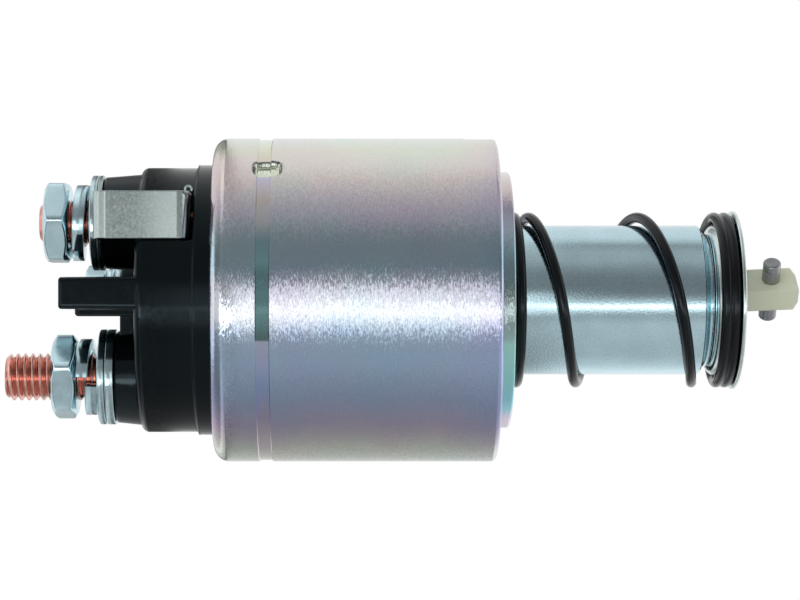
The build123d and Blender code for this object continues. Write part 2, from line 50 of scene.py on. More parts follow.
# Profile helper: each corner of a closed outline becomes an arc tangent to its two sides
def roundedOutline(points, radii, steps=5):
    corners = np.array(points, float)
    before, after = np.roll(corners, 1, axis=0), np.roll(corners, -1, axis=0)
    rows = []
    for corner, a, b, radius in zip(corners, before, after, radii):
        if radius <= 0:
            rows.append(corner[None])
            continue
        u, v = (a - corner) / np.linalg.norm(a - corner), (b - corner) / np.linalg.norm(b - corner)
        half = math.acos(np.clip(u @ v, -1, 1)) / 2
        reach = radius / math.tan(half)
        center = corner + (u + v) / np.linalg.norm(u + v) * radius / math.sin(half)
        start, end = corner + u * reach - center, corner + v * reach - center
        side = np.sign(start[0] * end[1] - start[1] * end[0]) or 1.0
        turns = np.linspace(0, math.pi - 2 * half, steps) * side
        rows.append(center + np.stack([start[0] * np.cos(turns) - start[1] * np.sin(turns),
                                       start[0] * np.sin(turns) + start[1] * np.cos(turns)], axis=1))
    return np.concatenate(rows)


# Quads between neighbouring rows and columns of a grid of vertices
def gridFaces(rows, cols, wrapRows=False, wrapCols=True):
    r = np.arange(rows if wrapRows else rows - 1)
    c = np.arange(cols if wrapCols else cols - 1)
    r, c = np.meshgrid(r, c, indexing="ij")
    nextR, nextC = (r + 1) % rows, (c + 1) % cols
    return np.stack([r * cols + c, r * cols + nextC, nextR * cols + nextC, nextR * cols + c], axis=-1).reshape(-1, 4)


def newObject(name, data):
    piece = bpy.data.objects.new(name, data)
    bpy.context.scene.collection.objects.link(piece)
    return piece


# Smooth faces, with a sharp edge wherever two of them meet at more than an angle
def shade(mesh, smooth):
    mesh.polygons.foreach_set("use_smooth", np.ones(len(mesh.polygons), bool))
    mesh.set_sharp_from_angle(angle=math.radians(smooth))


# The modifiers are worked out and their result becomes the piece's mesh
def settle(piece):
    bpy.context.view_layer.update()
    final = bpy.data.meshes.new_from_object(piece.evaluated_get(bpy.context.evaluated_depsgraph_get()))
    piece.modifiers.clear()
    piece.data = final
    return piece


# Points in millimetres and quads become one closed mesh, with doubles merged and faces outwards
def meshPiece(name, points, faces, smooth=35.0, merge=1e-7):
    mesh = bpy.data.meshes.new(name)
    points = np.asarray(points, float).reshape(-1, 3) * mm
    mesh.vertices.add(len(points))
    mesh.vertices.foreach_set("co", points.ravel())
    mesh.loops.add(faces.size)
    mesh.loops.foreach_set("vertex_index", faces.ravel())
    mesh.polygons.add(len(faces))
    mesh.polygons.foreach_set("loop_start", np.arange(len(faces)) * faces.shape[1])
    mesh.update(calc_edges=True)
    mesh.validate()
    work = bmesh.new()
    work.from_mesh(mesh)
    bmesh.ops.remove_doubles(work, verts=work.verts, dist=merge)
    bmesh.ops.dissolve_degenerate(work, edges=work.edges, dist=merge)
    bmesh.ops.recalc_face_normals(work, faces=work.faces)
    work.to_mesh(mesh)
    work.free()
    shade(mesh, smooth)
    return newObject(name, mesh)


# Several closed meshes become one object
def joined(name, parts):
    work = bmesh.new()
    for part in parts:
        work.from_mesh(part.data)
    mesh = bpy.data.meshes.new(name)
    work.to_mesh(mesh)
    work.free()
    for part in parts:
        bpy.data.objects.remove(part)
    shade(mesh, 35.0)
    return newObject(name, mesh)


# Points at a place x, a radius and an angle from the top towards -Y, round an axis parallel to X
def around(x, radius, angle, side=0.0, height=0.0):
    x, radius, angle = np.broadcast_arrays(x, radius, angle)
    return np.stack([x, side - radius * np.sin(angle), height + radius * np.cos(angle)], axis=-1)


# Turned surface: an outline of (x, radius) is carried round an axis parallel to X through (side, height)
def turned(name, outline, side=0.0, height=0.0, segments=192, closed=True):
    outline = np.asarray(outline, float)
    angle = np.arange(segments) * tau / segments
    points = around(outline[:, :1], outline[:, 1:], angle, side, height)
    return meshPiece(name, points, gridFaces(len(outline), segments, wrapRows=closed))


# A flat section (across, along the normal) is carried along a path; each end closes to a point past a smaller ring
def carried(name, path, normal, section, endShare, endPush=0.0):
    tangent = np.gradient(path, axis=0)
    tangent /= np.linalg.norm(tangent, axis=1, keepdims=True)
    normal = normal - (normal * tangent).sum(1, keepdims=True) * tangent
    normal /= np.linalg.norm(normal, axis=1, keepdims=True)
    across = np.cross(tangent, normal)
    order = np.pad(np.arange(len(path)), 2, mode="edge")
    scale = np.concatenate([[0.0, endShare], np.ones(len(path)), [endShare, 0.0]])
    push = np.repeat([-endPush, 0.0, endPush], [2, len(path), 2])
    section = np.asarray(section, float)
    points = (path[order] + tangent[order] * push[:, None])[:, None] + scale[:, None, None] * (
        section[None, :, :1] * across[order][:, None] + section[None, :, 1:] * normal[order][:, None])
    return meshPiece(name, points, gridFaces(len(order), len(section)), 40.0)


def circleSection(radius, sides):
    angle = np.arange(sides) * tau / sides
    return np.stack([np.cos(angle), np.sin(angle)], axis=1) * radius


def boxSection(width, thick, corner, steps):
    w, t = width / 2, thick / 2
    return roundedOutline([(-w, -t), (w, -t), (w, t), (-w, t)], [corner] * 4, steps)


# Helix about an axis parallel to X: turns from the top towards -Y, with a place x for each turn
def helixPath(turn, x, radius, side=0.0, height=0.0):
    return around(x, radius, turn * tau, side, height), around(0.0, 1.0, turn * tau)


# Screw thread grid: rows follow the helix and stay between two ends; the wave is 0 half way and 1 at each pitch
def threadGrid(start, end, pitch, steps, segments, spare):
    count = (int(math.ceil((end - start) / pitch)) + spare) * steps
    row, turn = np.arange(count + 1)[:, None] / steps - 1, np.arange(segments + 1) / segments
    x = np.clip(start + pitch * (row + turn), start, end)
    return x, turn * tau, np.abs(np.mod((x - start) / pitch - turn, 1.0) - 0.5) * 2


# A CAD node's mesh is copied, its doubles merged and its flat faces joined, and its edges are rounded
def dressedCopy(node, name, bevel, segments, angle, flat):
    mesh = nodes[node].data.copy()
    mesh.name = name
    work = bmesh.new()
    work.from_mesh(mesh)
    bmesh.ops.remove_doubles(work, verts=work.verts, dist=2e-6)
    bmesh.ops.dissolve_degenerate(work, edges=work.edges, dist=1e-6)
    bmesh.ops.dissolve_limit(work, angle_limit=math.radians(1.0), verts=work.verts, edges=work.edges)
    work.to_mesh(mesh)
    work.free()
    shade(mesh, 30.0)
    piece = newObject(name, mesh)
    rounding = piece.modifiers.new("rounding", "BEVEL")
    rounding.width, rounding.segments = bevel * mm, segments
    rounding.limit_method, rounding.angle_limit = "ANGLE", math.radians(angle)
    if flat:
        flatFaces = piece.modifiers.new("flatFaces", "WEIGHTED_NORMAL")
        flatFaces.weight, flatFaces.keep_sharp = 90, True
    return settle(piece)


# Look and body of a piece, and the CAD node that it stands for
def dress(piece, look, body="housing", node=None):
    piece.data.materials.clear()
    piece.data.materials.append(looks[look])
    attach(piece, body)
    if node:
        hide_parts(node)
    return piece


# Shader nodes: an input is linked when it is given a socket, set when it is given a value, and left when it gets None
def feed(tree, socket, value):
    if isinstance(value, bpy.types.NodeSocket):
        tree.links.new(value, socket)
    elif value is not None:
        socket.default_value = value


def addNode(tree, kind, inputs=None, **settings):
    node = tree.nodes.new(kind)
    for key, value in settings.items():
        setattr(node, key, value)
    for key, value in (inputs or {}).items():
        feed(tree, node.inputs[key], value)
    return node


def mathNode(tree, operation, a, b=None):
    return addNode(tree, "ShaderNodeMath", {0: a, 1: b}, operation=operation).outputs[0]


def vectorNode(tree, operation, a, b=None, scale=None):
    return addNode(tree, "ShaderNodeVectorMath", {0: a, 1: b, 3: scale}, operation=operation).outputs[0]


def splitNode(tree, vector):
    return addNode(tree, "ShaderNodeSeparateXYZ", {0: vector}).outputs


def joinNode(tree, x, y, z):
    return addNode(tree, "ShaderNodeCombineXYZ", {0: x, 1: y, 2: z}).outputs[0]


# Root of the sum of two squares
def lengthNode(tree, a, b):
    return mathNode(tree, "SQRT", mathNode(tree, "ADD", mathNode(tree, "MULTIPLY", a, a),
                                           mathNode(tree, "MULTIPLY", b, b)))


def withAlpha(color):
    return (*color, 1.0) if isinstance(color, tuple) else color


def mixColor(tree, factor, a, b, blend="MIX"):
    return addNode(tree, "ShaderNodeMix", {0: factor, 6: withAlpha(a), 7: withAlpha(b)},
                   data_type="RGBA", blend_type=blend).outputs[2]


# Colour ramp from rows of (place, red, green, blue)
def rampNode(tree, factor, stops):
    node = addNode(tree, "ShaderNodeValToRGB", {0: factor})
    elements = node.color_ramp.elements
    while len(elements) < len(stops):
        elements.new(0.5)
    for element, (place, *color) in zip(elements, stops):
        element.position, element.color = place, (*color, 1.0)
    return node.outputs[0]


def toRange(tree, value, low, high, newLow=0.0, newHigh=1.0):
    return addNode(tree, "ShaderNodeMapRange", {0: value, 1: low, 2: high, 3: newLow, 4: newHigh}).outputs[0]


def objectCoords(tree):
    return addNode(tree, "ShaderNodeTexCoord").outputs["Object"]


# Shader groups: sockets named Vector, Scale or Normal are vectors, and the others are numbers
def newGroup(name, inputs, outputs):
    tree = bpy.data.node_groups.new(name, "ShaderNodeTree")
    for label, way in [(label, "INPUT") for label in inputs] + [(label, "OUTPUT") for label in outputs]:
        kind = "NodeSocketVector" if label in ("Vector", "Scale", "Normal") else "NodeSocketFloat"
        socket = tree.interface.new_socket(label, in_out=way, socket_type=kind)
        if way == "INPUT" and inputs[label] is not None:
            socket.default_value = inputs[label]
    return tree, tree.nodes.new("NodeGroupInput").outputs, tree.nodes.new("NodeGroupOutput").inputs


# Object coordinates turned into (distance along the axis, arc length at the given radius, distance from the axis),
# and the height as a share of that radius
def makeAxisGroup():
    tree, entry, leave = newGroup("aroundAxis", {"Radius": 0.02}, ("Vector", "Along", "Up"))
    x, y, z = splitNode(tree, objectCoords(tree))
    turn = mathNode(tree, "ARCTAN2", z, mathNode(tree, "MULTIPLY", y, -1.0))
    arc = mathNode(tree, "MULTIPLY", turn, entry["Radius"])
    feed(tree, leave["Vector"], joinNode(tree, x, arc, lengthNode(tree, y, z)))
    feed(tree, leave["Along"], x)
    feed(tree, leave["Up"], mathNode(tree, "DIVIDE", z, entry["Radius"]))
    return tree


# Noise over a vector multiplied by a scale for each direction
def stretchedNoise(tree, entry, detail=None):
    place = vectorNode(tree, "MULTIPLY", entry["Vector"], entry["Scale"])
    return addNode(tree, "ShaderNodeTexNoise", {"Vector": place, "Scale": 1.0, "Detail": detail}).outputs[0]


# Fine grain: stretched noise, as a value and a bumped normal
def makeGrainGroup():
    tree, entry, leave = newGroup("fineGrain", {"Vector": None, "Scale": (1000.0, 1000.0, 1000.0), "Detail": 3.0,
                                                "Depth": 0.1}, ("Value", "Normal"))
    noise = stretchedNoise(tree, entry, entry["Detail"])
    bump = addNode(tree, "ShaderNodeBump", {"Distance": 0.00005, "Strength": entry["Depth"], "Height": noise})
    feed(tree, leave["Value"], noise)
    feed(tree, leave["Normal"], bump.outputs[0])
    return tree


# Brushing round the X axis: noise drawn out round the part tips each spot of the surface up or down by its own amount
def makeBrushGroup():
    tree, entry, leave = newGroup("roundBrushing", {"Vector": None, "Scale": (1000.0, 1000.0, 1000.0), "Normal": None,
                                                    "Tip": 0.2}, ("Value", "Normal"))
    noise = stretchedNoise(tree, entry)
    x, y, z = splitNode(tree, objectCoords(tree))
    turn = addNode(tree, "ShaderNodeVectorTransform", {0: joinNode(tree, 0.0, mathNode(tree, "MULTIPLY", z, -1.0), y)},
                   vector_type="VECTOR", convert_from="OBJECT", convert_to="WORLD")
    amount = mathNode(tree, "MULTIPLY", mathNode(tree, "SUBTRACT", noise, 0.5), entry["Tip"])
    tip = vectorNode(tree, "SCALE", vectorNode(tree, "NORMALIZE", turn.outputs[0]), scale=amount)
    feed(tree, leave["Value"], noise)
    feed(tree, leave["Normal"], vectorNode(tree, "NORMALIZE", vectorNode(tree, "ADD", entry["Normal"], tip)))
    return tree


axisGroup, grainGroup, brushGroup = makeAxisGroup(), makeGrainGroup(), makeBrushGroup()


def axisOf(tree, radius):
    return addNode(tree, "ShaderNodeGroup", {"Radius": radius}, node_tree=axisGroup).outputs


def grainOf(tree, vector, scale, depth=0.0, detail=3.0):
    scale = scale if isinstance(scale, tuple) else (scale, scale, scale)
    return addNode(tree, "ShaderNodeGroup", {"Vector": vector, "Scale": scale, "Depth": depth, "Detail": detail},
                   node_tree=grainGroup).outputs


def newLook(name):
    look = bpy.data.materials.new(name)
    look.use_nodes = True
    return look, look.node_tree, look.node_tree.nodes["Principled BSDF"]


# What every finish ends with: its colour, a roughness that follows a grain, and a normal
def finishLook(tree, shader, hue, grain, roughness, normal, metal):
    feed(tree, shader.inputs["Base Color"], hue)
    feed(tree, shader.inputs["Roughness"], toRange(tree, grain["Value"], 0.3, 0.7, *roughness))
    feed(tree, shader.inputs["Normal"], normal)
    shader.inputs["Metallic"].default_value = metal


# Zinc-plated can: hue bands follow the height on the can, with wavy edges, over fine brushing that sparkles where
# the light changes; the bands are the plating's film tint with painted reflection in them, lighter at the front where
# the highlight lies and darker where the can mirrors dark surroundings. The rolled groove's front is painted dark
# green, a painted reflection of dark surroundings, and the stake mark has a pale floor inside a dark oval line of
# painted shade along the pocket's wall
canLook = {
    "radius": 0.0275, "roughness": (0.12, 0.2), "brush": (4200.0, 2700.0, 2700.0), "depth": 0.2,
    "streak": (6000.0, 1700.0, 3000.0), "tip": 0.34, "grooveTip": 0.06,
    "drift": (60.0, 12.0, 0.0), "wave": 0.2, "patch": (70.0, 55.0, 0.0),
    "grooveLeft": -0.04, "grooveRight": -0.0377, "pilotLeft": 0.0002,
    "stakeMiddle": (-0.0383, 0.02505), "stakeHalf": (0.00245, 0.00202), "stakePower": 3.2, "stakeEdge": 1.06,
    "speck": (3500.0, 3500.0, 0.0), "speckColor": (0.2, 0.22, 0.18), "ragged": 0.06,
    "hue": [(0.0, 0.8, 0.86, 0.8), (0.045, 0.82, 0.86, 0.76), (0.09, 0.72, 0.66, 0.72), (0.13, 0.6, 0.55, 0.72),
            (0.2, 0.47, 0.56, 0.78), (0.33, 0.52, 0.69, 0.9), (0.4, 0.6, 0.73, 0.92), (0.46, 0.8, 0.84, 0.9),
            (0.54, 0.78, 0.81, 0.92), (0.6, 0.5, 0.68, 0.78), (0.68, 0.55, 0.7, 0.77), (0.77, 0.74, 0.7, 0.8),
            (0.86, 0.84, 0.76, 0.73), (0.92, 0.84, 0.8, 0.74), (0.96, 0.83, 0.85, 0.72), (1.0, 0.8, 0.86, 0.8)],
    "sheen": [(0.35, 0.93, 1.0, 1.0), (0.5, 1.0, 1.0, 1.0), (0.65, 1.0, 0.94, 1.0)],
    "ends": [(0.05, 0.88, 0.8, 0.84), (0.08, 0.95, 0.93, 0.9), (0.12, 1.0, 1.0, 1.0), (0.8, 1.0, 1.0, 1.0),
             (0.93, 0.99, 0.96, 1.0), (1.0, 0.92, 0.9, 1.0)],
    "fine": [(0.3, 0.93, 0.94, 0.95), (0.7, 1.0, 1.0, 1.0)],
    "grooveReflection": [(0.0, 0.82, 0.84, 0.76), (0.08, 0.78, 0.7, 0.76), (0.15, 0.55, 0.5, 0.68), (0.24, 0.42, 0.54, 0.84),
             (0.36, 0.6, 0.66, 0.88), (0.378, 0.58, 0.66, 0.84), (0.383, 0.16, 0.26, 0.27), (0.42, 0.095, 0.175, 0.18),
             (0.5, 0.085, 0.16, 0.167), (0.535, 0.11, 0.205, 0.22), (0.57, 0.22, 0.4, 0.42), (0.61, 0.38, 0.7, 0.73),
             (0.67, 0.4, 0.62, 0.7), (0.73, 0.68, 0.7, 0.74), (0.8, 0.74, 0.66, 0.64), (0.86, 0.7, 0.68, 0.84),
             (0.93, 0.78, 0.74, 0.6), (0.97, 0.8, 0.86, 0.7), (1.0, 0.76, 0.9, 0.9)],
    "pilot": [(0.12, 0.9, 0.8, 0.95), (0.15, 0.8, 0.78, 0.95), (0.17, 0.46, 0.85, 0.95), (0.2, 0.37, 0.78, 0.92),
              (0.26, 0.39, 0.8, 0.82), (0.37, 0.44, 0.77, 0.72), (0.38, 0.42, 0.66, 0.64), (0.44, 0.36, 0.46, 0.46),
              (0.51, 0.38, 0.46, 0.45), (0.57, 0.4, 0.6, 0.66), (0.65, 0.48, 0.7, 0.8), (0.71, 0.54, 0.62, 0.74),
              (0.77, 0.52, 0.5, 0.62), (0.83, 0.74, 0.62, 0.63), (0.89, 0.82, 0.79, 0.75)],
    "mark": [(0.0, 0.9, 0.95, 0.8), (0.4, 0.84, 0.9, 0.74), (0.45, 0.5, 0.54, 0.48), (0.48, 0.16, 0.17, 0.17),
             (0.51, 0.5, 0.5, 0.5), (0.54, 0.9, 0.88, 0.86)],
}


def makeCanLook():
    size = canLook
    look, tree, shader = newLook("canZinc")
    axis = axisOf(tree, size["radius"])
    up, along, vector = axis["Up"], axis["Along"], axis["Vector"]
    drift = mathNode(tree, "SUBTRACT", grainOf(tree, vector, size["drift"])["Value"], 0.5)
    wavy = mathNode(tree, "ADD", up, mathNode(tree, "MULTIPLY", drift, size["wave"]))
    # film tint with painted reflection: lighter at the front where the highlight lies, darker above and below where
    # the can mirrors dark surroundings
    hue = rampNode(tree, toRange(tree, wavy, -1.0, 1.0), size["hue"])
    brush = grainOf(tree, vector, size["brush"], size["depth"], 2.0)
    for value, stops in ((grainOf(tree, vector, size["patch"], detail=2.0)["Value"], "sheen"),
                         (toRange(tree, along, -0.05, 0.0), "ends"), (brush["Value"], "fine")):
        hue = mixColor(tree, 1.0, hue, rampNode(tree, value, size[stops]), "MULTIPLY")
    inGroove = mathNode(tree, "MULTIPLY", mathNode(tree, "GREATER_THAN", along, size["grooveLeft"]),
                        mathNode(tree, "LESS_THAN", along, size["grooveRight"]))
    level = toRange(tree, up, -1.0, 1.0)
    # painted reflection: the groove's front is painted dark green where its smooth surface mirrors dark surroundings
    hue = mixColor(tree, inGroove, hue, rampNode(tree, level, size["grooveReflection"]))
    onPilot = mathNode(tree, "GREATER_THAN", along, size["pilotLeft"])
    hue = mixColor(tree, onPilot, hue, rampNode(tree, level, size["pilot"]))
    # stake mark: distance from its middle in widths, as a rounded square's, with a ragged edge and dark specks
    across = [mathNode(tree, "POWER", mathNode(tree, "ABSOLUTE", mathNode(tree, "DIVIDE", mathNode(
        tree, "SUBTRACT", place, middle), half)), size["stakePower"])
        for place, middle, half in zip(splitNode(tree, vector), size["stakeMiddle"], size["stakeHalf"])]
    oval = mathNode(tree, "POWER", mathNode(tree, "ADD", *across), 1 / size["stakePower"])
    speck = grainOf(tree, vector, size["speck"], detail=2.0)["Value"]
    oval = mathNode(tree, "ADD", oval, toRange(tree, speck, 0.3, 0.7, -size["ragged"], size["ragged"]))
    # painted shade: the dark oval line near the mark's edge stands for the shade along the pocket's wall
    mark = rampNode(tree, mathNode(tree, "MULTIPLY", oval, 0.5), size["mark"])
    mark = mixColor(tree, toRange(tree, speck, 0.6, 0.66, 0.0, 0.8), mark, size["speckColor"])
    hue = mixColor(tree, mathNode(tree, "LESS_THAN", oval, size["stakeEdge"]), hue, mark)
    tip = toRange(tree, inGroove, 0.0, 1.0, size["tip"], size["grooveTip"])
    streak = addNode(tree, "ShaderNodeGroup", {"Vector": vector, "Normal": brush["Normal"], "Scale": size["streak"],
                                               "Tip": tip}, node_tree=brushGroup).outputs
    finishLook(tree, shader, hue, brush, size["roughness"], streak["Normal"], 1.0)
    return look


# Plated or bare metals: name, colour, share by which soft blotches darken it, roughness, grain for each metre along,
# round and outwards, its depth, and the radius at which it runs round the axis
metals = {
    "hardware": ("hardwareZinc", (0.68, 0.92, 1.0), 0.14, (0.1, 0.18), 900.0, 0.02),
    "washer": ("washerZinc", (0.7, 0.9, 0.95), 0.15, (0.12, 0.2), 2000.0, 0.12),
    "plunger": ("plungerZinc", (0.66, 0.9, 0.99), 0.08, (0.09, 0.15), 2600.0, 0.3, 0.0127),
    "seat": ("seatZinc", (0.82, 0.93, 0.93), 0.08, (0.14, 0.22), (500.0, 900.0, 900.0), 0.02, 0.013),
    "steel": ("turnedSteel", (0.5, 0.5, 0.5), 0.1, (0.28, 0.4), (1800.0, 60.0, 1800.0), 0.08, 0.01),
    "brass": ("guideBrass", (0.74, 0.7, 0.64), 0.2, (0.25, 0.35), (2500.0, 1500.0, 2500.0), 0.15, 0.01),
    "tinned": ("tinnedStrip", (0.52, 0.61, 0.6), 0.05, (0.15, 0.21), 2800.0, 0.08),
    "wire": ("windingWire", (0.55, 0.22, 0.1), 0.15, (0.25, 0.35), 900.0, 0.05),
    "springSteel": ("springSteel", (0.5, 0.51, 0.52), 0.1, (0.28, 0.38), 900.0, 0.05),
    "pin": ("pinSteel", (0.4, 0.41, 0.43), 0.12, (0.26, 0.38), 900.0, 0.05),
}


def makeMetalLook(name, color, spread, roughness, scale, depth, radius=None):
    look, tree, shader = newLook(name)
    coords = objectCoords(tree)
    blotch = toRange(tree, grainOf(tree, coords, 260.0)["Value"], 0.35, 0.65)
    grain = grainOf(tree, axisOf(tree, radius)["Vector"] if radius else coords, scale, depth)
    hue = mixColor(tree, blotch, color, tuple(c * (1 - spread) for c in color))
    fine = rampNode(tree, grain["Value"], [(0.3, 0.8, 0.8, 0.8), (0.7, 1.0, 1.0, 1.0)])
    finishLook(tree, shader, mixColor(tree, 0.7, hue, fine, "MULTIPLY"), grain, roughness, grain["Normal"], 1.0)
    return look


# Moulded plastic and rubber: name, colour, cloudier colour, roughness, orange peel for each metre, its depth,
# specular level and tint
mouldings = {
    "black": ("blackMoulding", (0.001, 0.0014, 0.0016), (0.0016, 0.002, 0.0022), (0.1, 0.16), 1100.0, 0.02, 0.4,
              (0.5, 0.7, 0.8)),
    "springBlack": ("springBlack", (0.002, 0.0022, 0.0024), (0.003, 0.0032, 0.0034), (0.12, 0.2), 2200.0, 0.04, 0.35,
                    (0.8, 0.92, 1.0)),
    "rubber": ("gasketRubber", (0.02, 0.02, 0.02), (0.03, 0.03, 0.03), (0.6, 0.75), 1500.0, 0.1, 0.3),
    "nylon": ("linkNylon", (0.58, 0.62, 0.46), (0.64, 0.67, 0.53), (0.36, 0.48), 900.0, 0.08),
    "bobbin": ("bobbinNylon", (0.7, 0.66, 0.52), (0.74, 0.7, 0.58), (0.4, 0.5), 900.0, 0.06),
}


# Nearly even colour with a faint cloudiness; edges look rounded over half a millimetre
def makeMouldedLook(name, color, other, roughness, scale, depth, specular=0.5, tint=(1.0, 1.0, 1.0)):
    look, tree, shader = newLook(name)
    coords = objectCoords(tree)
    cloud = toRange(tree, grainOf(tree, coords, 140.0, detail=4.0)["Value"], 0.35, 0.65)
    peel = grainOf(tree, coords, scale, depth, 2.0)
    soft = addNode(tree, "ShaderNodeBevel", {"Radius": 0.5 * mm, "Normal": peel["Normal"]}, samples=8)
    finishLook(tree, shader, mixColor(tree, cloud, color, other), peel, roughness, soft.outputs[0], 0.0)
    shader.inputs["Specular IOR Level"].default_value = specular
    shader.inputs["Specular Tint"].default_value = (*tint, 1.0)
    return look


# Copper studs: the colour is darkened from the crest to the root of the thread, with the distance from the stud's
# axis, as painted shade in the thread's hollows, and small blotches turn it browner
copper = {"crest": (0.96, 0.54, 0.46), "root": (0.72, 0.35, 0.29), "brown": (0.84, 0.42, 0.34), "blotch": 900.0,
          "roughness": (0.14, 0.24), "grain": (2400.0, 1200.0, 1200.0), "depth": 0.15}


def makeCopperLook(name, front, height, root, crest):
    look, tree, shader = newLook(name)
    coords = objectCoords(tree)
    x, y, z = splitNode(tree, coords)
    distance = lengthNode(tree, mathNode(tree, "ADD", y, front * mm),
                          mathNode(tree, "SUBTRACT", mathNode(tree, "ABSOLUTE", z), height * mm))
    blotch = toRange(tree, grainOf(tree, coords, copper["blotch"])["Value"], 0.45, 0.7)
    outer = mixColor(tree, blotch, copper["crest"], copper["brown"])
    # painted shade: darker towards the thread's root
    hue = mixColor(tree, toRange(tree, distance, root * mm, crest * mm), copper["root"], outer)
    grain = grainOf(tree, coords, copper["grain"], copper["depth"])
    finishLook(tree, shader, hue, grain, copper["roughness"], grain["Normal"], 1.0)
    return look


looks = {"can": makeCanLook(), "copper": makeCopperLook("brightCopper", 5.5, 12.95, 3.3, 4.0),
         "signalCopper": makeCopperLook("signalCopper", -12.0, 1.6, 2.05, 2.5)}
looks.update({key: makeMetalLook(*values) for key, values in metals.items()})
looks.update({key: makeMouldedLook(*values) for key, values in mouldings.items()})
print("looks made:", len(looks))

# Can: a turned shell whose outer wall carries the rolled groove, the stake mark and the shallow flat
canSize = {
    "radius": 27.5, "length": 47.6, "lip": 2.6, "lipOpening": 23.3, "roll": 2.4, "edge": 0.8, "inner": 24.8,
    "pilot": 21.8, "pilotHeight": 2.3, "bore": 13.15, "wall": 8.0,
    "groove": -38.85, "grooveWidth": 2.3, "grooveDepth": 0.24, "grooveFlank": 0.12,
    "stakeX": -38.3, "stakeAngle": 38.0, "stakeLength": 5.0, "stakeWidth": 4.3, "stakeDepth": 0.9,
    "stakePower": 3.2, "stakeEdge": 1.05, "stakeSlope": 0.32,
    "flatFrom": -5.3, "flatTo": -0.4, "flatDepth": 0.35,
    "fineRings": (-42.2, -35.6, 0.14), "wideRings": (-35.4, -6.2, 1.5),
    "flatRings": (-5.6, -5.32, -5.28, -5.0, -3.0, -1.0, -0.83),
    "column": 2.0, "fineColumn": 0.25, "fineReach": 7.0, "fineRoom": 8.0,
}
screwSize = {"circle": 18.3, "depth": 9.0, "count": 3, "start": 30.0, "pitch": 0.8, "root": 2.45, "crest": 2.05}


# Outer wall: full radius less the groove, which has sloped flanks, less the stake mark, a pocket with smooth sides
# and a flat floor
def wallDrop(x, turn):
    size = canSize
    distance = np.abs(x - size["groove"]) - size["grooveWidth"] / 2 + size["grooveFlank"]
    drop = size["grooveDepth"] * (1 - np.clip(distance / size["grooveFlank"], 0, 1))
    u = (x - size["stakeX"]) / (size["stakeLength"] / 2)
    v = turn * size["radius"] / (size["stakeWidth"] / 2)
    oval = (np.abs(u) ** size["stakePower"] + np.abs(v) ** size["stakePower"]) ** (1 / size["stakePower"])
    pocket = np.clip((size["stakeEdge"] - oval) / size["stakeSlope"], 0, 1)
    return drop + pocket * pocket * (3 - 2 * pocket) * size["stakeDepth"]


def makeCan():
    size = canSize
    full, back, inside, top = size["radius"], -size["length"], -size["length"] + size["lip"], size["pilotHeight"]
    points = [(back, size["lipOpening"]), (back, full), (0, full), (0, size["pilot"]), (top, size["pilot"]),
              (top, size["bore"]), (-size["wall"], size["bore"]), (-size["wall"], size["inner"]),
              (inside, size["inner"]), (inside, size["lipOpening"])]
    outline = roundedOutline(points, [0.5, size["roll"], size["edge"], 0.25, 0.45, 0.3, 0.3, 0.6, 0.3, 0.4], 9)
    # the long outer side gets extra rings: fine where the groove and the stake mark lie
    right = np.argmax((outline[:, 1] > full - 1e-6) & (outline[:, 0] > -5))
    flank = size["groove"] + np.array([-1, 1]) * size["grooveWidth"] / 2
    fine = np.unique(np.concatenate([flank, flank + [size["grooveFlank"], -size["grooveFlank"]],
                                     np.arange(*size["fineRings"]), np.arange(*size["wideRings"]),
                                     size["flatRings"]]))
    fine = fine[(fine > outline[right - 1, 0] + 0.1) & (fine < outline[right, 0] - 0.02)]
    outline = np.concatenate([outline[:right], np.stack([fine, np.full_like(fine, full)], 1), outline[right:]])
    # columns: evenly apart, closer at the stake mark, and on both sides of the flat's edges
    coarse = np.radians(np.arange(0, 360, size["column"]))
    stake = math.radians(size["stakeAngle"])
    near = stake + np.radians(np.arange(-size["fineReach"], size["fineReach"] + 0.01, size["fineColumn"]))
    edge = math.acos(1 - size["flatDepth"] / full) * np.array([0.5, 0.985, 1.015])
    keep = np.abs(coarse - stake) > math.radians(size["fineRoom"])
    angle = np.sort(np.concatenate([coarse[keep], near, edge, tau - edge]))
    x, radius = np.broadcast_arrays(outline[:, :1], outline[:, 1:] + 0 * angle)
    radius = radius - np.where(radius > full - 1e-6, wallDrop(x, angle - stake), 0)
    # flat: the radius that keeps the height at the flat's plane, between its two ends
    plane = (full - size["flatDepth"]) / np.maximum(np.cos(angle), 0.2)
    inFlat = (x > size["flatFrom"]) & (x < size["flatTo"] + 0.1) & (np.cos(angle) > 0.9)
    radius = np.where(inFlat & (radius > 25), np.minimum(radius, plane), radius)
    return meshPiece("can_shell", around(x, radius, angle), gridFaces(len(outline), len(angle), wrapRows=True), 40.0)


def screwPlace(index):
    turn = math.radians(screwSize["start"] + 360.0 * index / screwSize["count"])
    return -screwSize["circle"] * math.sin(turn), screwSize["circle"] * math.cos(turn)


# The three screw holes are cut from the shell
def drillCan(piece):
    size = screwSize
    middle = canSize["pilotHeight"] - size["depth"] / 2 + 0.5
    cutter = bpy.data.meshes.new("cutter")
    work = bmesh.new()
    for index in range(size["count"]):
        side, height = screwPlace(index)
        made = bmesh.ops.create_cone(work, cap_ends=True, segments=48, radius1=size["root"] * mm,
                                     radius2=size["root"] * mm, depth=(size["depth"] + 1) * mm)
        for v in made["verts"]:
            x, y, z = v.co
            v.co = (z + middle * mm, x + side * mm, y + height * mm)
    bmesh.ops.recalc_face_normals(work, faces=work.faces)
    work.to_mesh(cutter)
    work.free()
    tool = newObject("cutter", cutter)
    cut = piece.modifiers.new("holes", "BOOLEAN")
    cut.operation, cut.solver, cut.object = "DIFFERENCE", "EXACT", tool
    settle(piece)
    bpy.data.objects.remove(tool)
    shade(piece.data, 40.0)
    return piece


